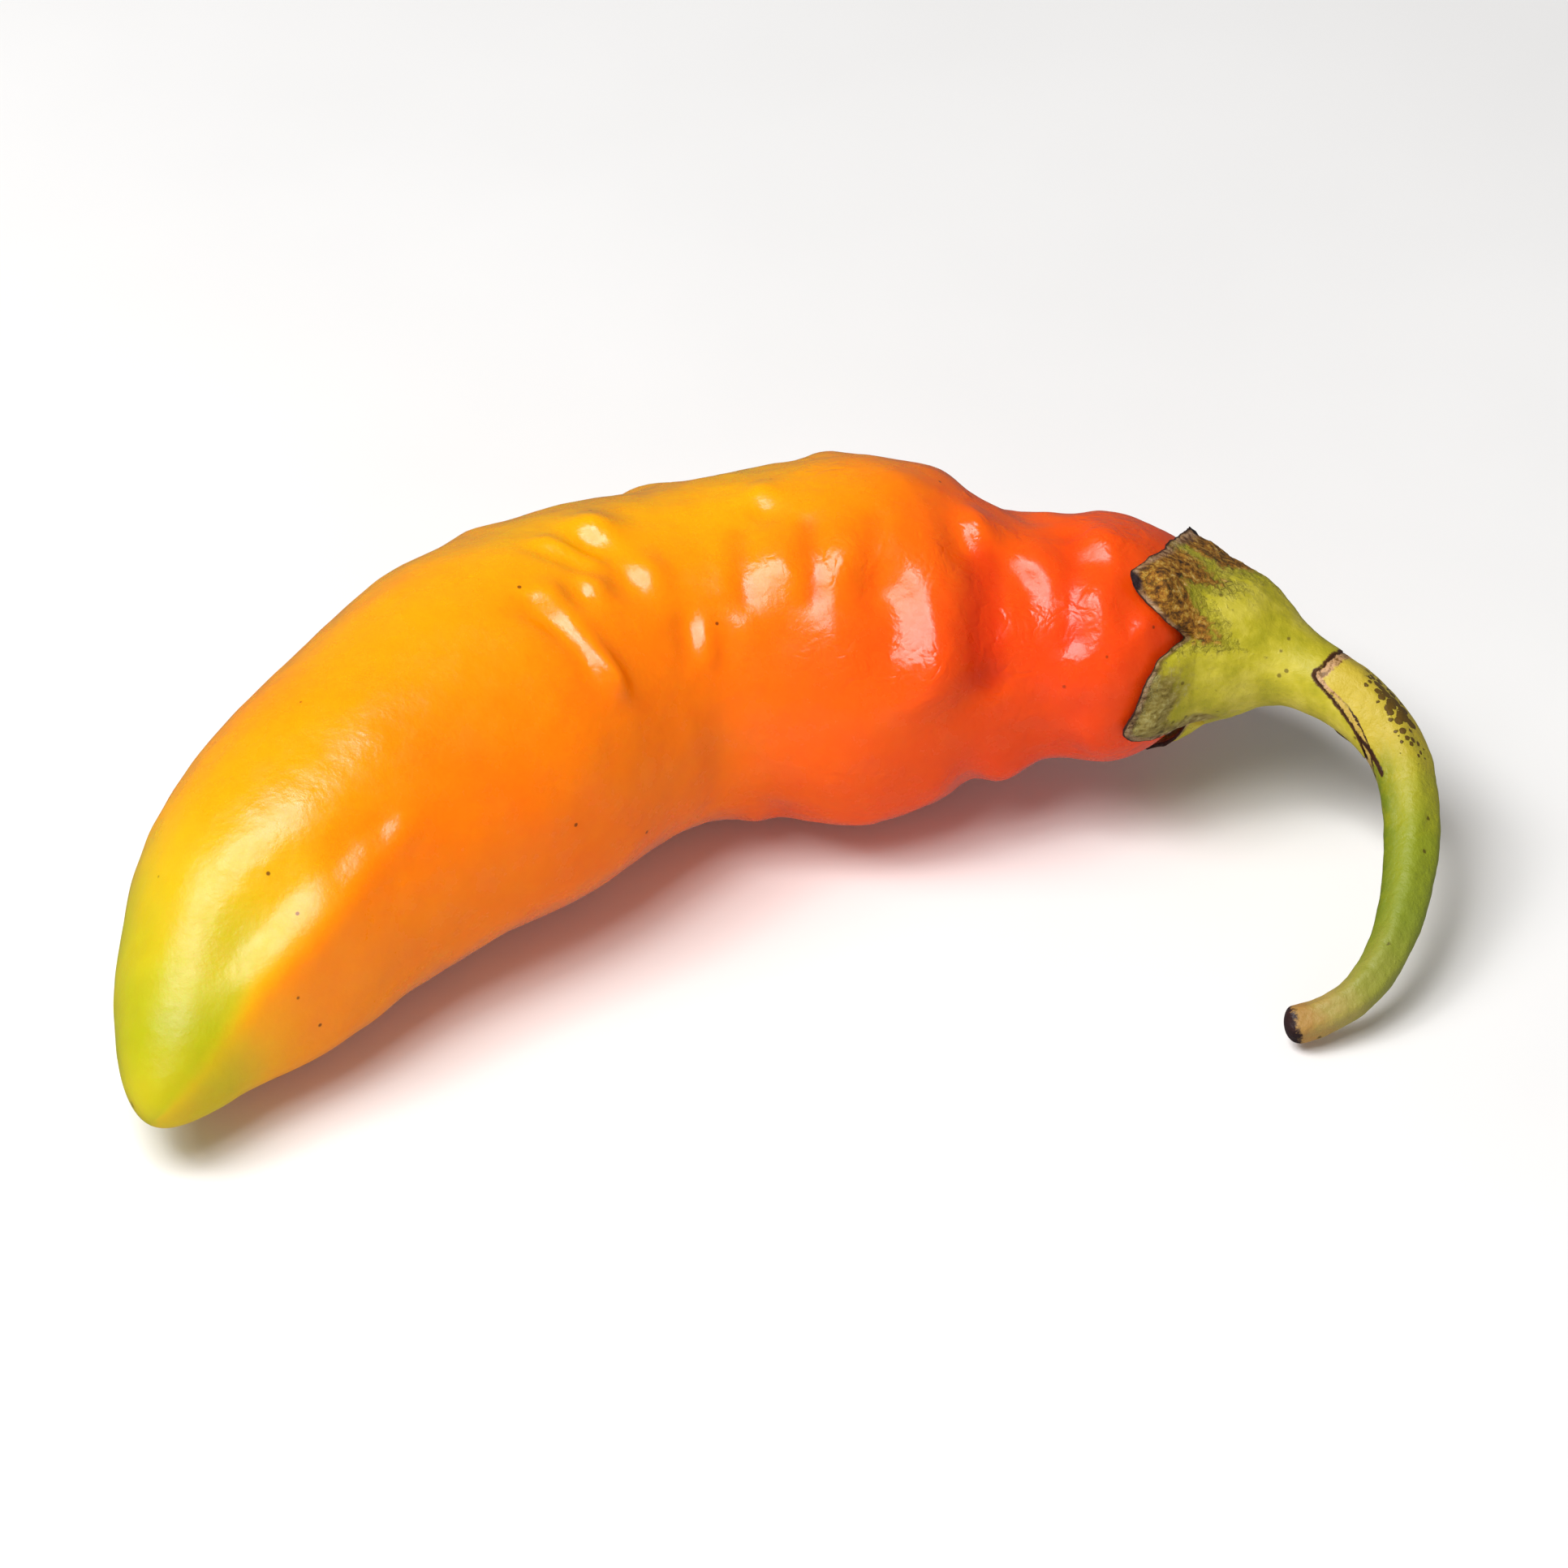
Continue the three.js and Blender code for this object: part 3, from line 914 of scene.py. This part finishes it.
def calyx_outside(distance, turn, from_rim):
    """The radius of the outer face: a thin blade over the pod's shoulder, which grows into the neck."""
    seat = seat_radius(distance, turn)
    blade = RIM_BLADE + (BLADE - RIM_BLADE) * ease(from_rim / BLADE_GROWTH)
    cap = smooth(CAP, distance)
    high = np.where(distance < CAP[0][0], seat + blade, np.maximum(seat + blade, cap))
    high = np.where(distance < POD_LENGTH, high, cap)
    low = seat * seat_end(distance) + blade
    radius = low + (high - low) * ease(from_rim / RIM_GROWTH)
    ribs = sum(around_turn(turn, tooth, RIB_TURN) for tooth, *_ in TEETH)
    ribs = ribs * rise(from_rim, *RIB_START) * rise(distance, *RIB_END)
    curl = around_turn(turn, CURLED_TOOTH, RIB_TURN) * rise(from_rim, *CURL)
    return radius + RIB_HEIGHT * ribs + CURL_HEIGHT * curl


def calyx_marks(turn, from_rim):
    """How dry, grey and dark the calyx is, by the turn and the distance from its rim."""
    dry = np.zeros_like(from_rim)
    dark = 0
    for tooth, darkness, share, length in TEETH:
        beside = np.abs(turn_between(turn, tooth))
        dry = np.maximum(dry, share * rise(beside, *DRY_TURN) * rise(from_rim / length, *DRY_REACH))
        dark = dark + darkness * around_turn(turn, tooth, TIP_TURN)
    grey = rise(np.abs(turn_between(turn, GREY_TOOTH)), *GREY_TURN) * rise(from_rim, *GREY_REACH)
    rolled = 1 + ROLL_WIDTH * around_turn(turn, *ROLL)
    return {
        "from_rim": from_rim,
        "from_edge": from_rim / rolled,
        "dry": dry,
        "grey": grey,
        "tip": np.clip(dark * np.exp(-(from_rim / TIP_REACH) ** 2), 0, 1),
    }


def make_calyx():
    """A closed cap: its rings run under the blade from the middle to the rim, and back over to the joint."""
    turns = np.arange(CALYX_COLUMNS) * 360 / CALYX_COLUMNS
    rim = ragged(rim_distance(turns), turns, RIM_RADIUS, *RIM_RAGGEDNESS)
    joint = ragged_joint(turns)
    under_part = np.linspace(0, 1, UNDERSIDE_RINGS + 1)[:, None] ** UNDERSIDE_CROWDING
    over_part = np.linspace(0, 1, CALYX_RINGS + 1)[:, None] ** CALYX_CROWDING
    under = SEAT_END + (rim - SEAT_END) * under_part
    over = rim + (joint - rim) * over_part
    closing = np.full((1, CALYX_COLUMNS), JOINT)
    turn_under = np.broadcast_to(turns, under.shape)
    turn_over = np.broadcast_to(turns, over.shape)
    distance = np.vstack([under, over, closing])
    turn = np.broadcast_to(turns, distance.shape)
    from_rim = np.vstack([np.abs(under - rim), over - rim, 0 * closing + FAR])
    marks = calyx_marks(turn, from_rim)
    radius = np.vstack([
        seat_radius(under, turn_under) * seat_end(under),
        calyx_outside(over, turn_over, over - rim),
        0 * closing,
    ])
    outside = np.vstack([0 * under, 0 * over + 1, 0 * closing])
    plain = skin_points(distance, turn, radius)
    crust = roughen(plain, CRUST_LUMP) + marks["dry"] * roughen(plain, CRUST_GRAIN)
    radius = radius + CRUST_HEIGHT * crust * outside * rise(distance, *CRUSTED)
    to_joint = (joint - over) / joint_steepness(turn_over)
    marks["to_joint"] = np.vstack([0 * under + FAR, to_joint, 0 * closing])
    calyx = closed_skin("calyx_leaf", skin_points(distance, turn, radius), marks)
    calyx.data.materials.append(calyx_material())
    return calyx


def make_stem():
    """A bent stalk: its rings run from the joint, where they are closed by a point inside, to the cut end."""
    turns = np.arange(STALK_COLUMNS) * 360 / STALK_COLUMNS
    steepness = joint_steepness(turns)
    joint = ragged_joint(turns) + JOINT_CRACK * steepness
    part = np.linspace(0, 1, STALK_RINGS + 1)[:, None]
    end = STALK_END + STALK_DOME
    body = joint + (end - joint) * np.sin(np.pi / 2 * part)
    opening = np.full((1, STALK_COLUMNS), JOINT + 3 * JOINT_CRACK)
    distance = np.vstack([opening, body])
    turn = np.broadcast_to(turns, distance.shape)
    radius = smooth(STALK, distance) + RIDGE_HEIGHT * np.cos(np.radians(STALK_RIDGES * turn))
    radius = radius + STALK_LUMP_HEIGHT * roughen(skin_points(distance, turn, radius), STALK_LUMP)
    radius = radius * quarter_round(1 - (end - distance) / END_ROUND)
    radius[0] = 0
    inner_side = rise(np.cos(np.radians(turn_between(turn, BEND_INSIDE))), *SHADE_SIDE)
    corky = around_turn(turn, *CORK_TURN) * np.exp(-((distance - CORK_MIDDLE) / CORK_REACH) ** 2)
    stem = closed_skin("stem_bark", skin_points(distance, turn, radius), {
        "along": (distance - JOINT) / (STALK_END - JOINT),
        # Where painted shade darkens the inside of the bend.
        "bend_shade": inner_side * rise(distance, *SHADE_START) * rise(distance, *SHADE_END),
        "cork": corky + CORK_EVERYWHERE,
        "from_joint": np.vstack([0 * opening, (body - joint) / steepness]),
        "torn": rise(np.abs(turn_between(turn, TORN_SIDE)), *TORN_TURN),
        "tear_gap": gap_to_line(distance, turn, TEAR, TEAR_RADIUS),
        "to_end": end - distance,
    })
    stem.data.materials.append(stem_material())
    return stem


def make_floor():
    corners = [(x * FLOOR_HALF, y * FLOOR_HALF, 0) for x, y in ((-1, -1), (1, -1), (1, 1), (-1, 1))]
    mesh = bpy.data.meshes.new("floor")
    mesh.from_pydata(corners, [], [(0, 1, 2, 3)])
    floor = bpy.data.objects.new("floor", mesh)
    floor.data.materials.append(floor_material())
    # The skin's shine leaves out the white table, which would turn its lower side pink.
    floor.visible_glossy = False
    bpy.context.collection.objects.link(floor)
    return floor


def aim_at(thing, target):
    direction = Vector(target) - thing.location
    thing.rotation_euler = direction.to_track_quat("-Z", "Y").to_euler()


def make_light(name, location, size, power, shines):
    data = bpy.data.lights.new(name, "AREA")
    data.shape = "RECTANGLE"
    data.size, data.size_y = size
    data.energy = power
    light = bpy.data.objects.new(name, data)
    light.location = location
    light.visible_glossy = shines
    aim_at(light, AIM)
    bpy.context.collection.objects.link(light)


def make_studio():
    for row in LIGHTS:
        make_light(*row)
    world = bpy.data.worlds.new("studio")
    world.use_nodes = True
    background = world.node_tree.nodes["Background"]
    background.inputs["Color"].default_value = (1.0, 1.0, 1.0, 1.0)
    background.inputs["Strength"].default_value = WORLD_STRENGTH
    bpy.context.scene.world = world
    bpy.context.scene.view_settings.view_transform = "Standard"


def make_camera():
    data = bpy.data.cameras.new("camera")
    data.sensor_width = SENSOR
    data.lens = SENSOR * CAMERA_DISTANCE / FRAME_WIDTH
    data.clip_start = CAMERA_CLIP
    camera = bpy.data.objects.new("camera", data)
    elevation = math.radians(CAMERA_ELEVATION)
    toward = Vector((0, -math.cos(elevation), math.sin(elevation)))
    camera.location = Vector(AIM) + toward * CAMERA_DISTANCE
    aim_at(camera, AIM)
    bpy.context.collection.objects.link(camera)
    bpy.context.scene.camera = camera


for piece, node, slot in (
    (make_pod(), "pod", "skin"),
    (make_calyx(), "calyx", "calyx"),
    (make_stem(), "stem", "stem"),
):
    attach(piece, "root")
    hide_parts(node)
make_floor()
make_studio()
make_camera()
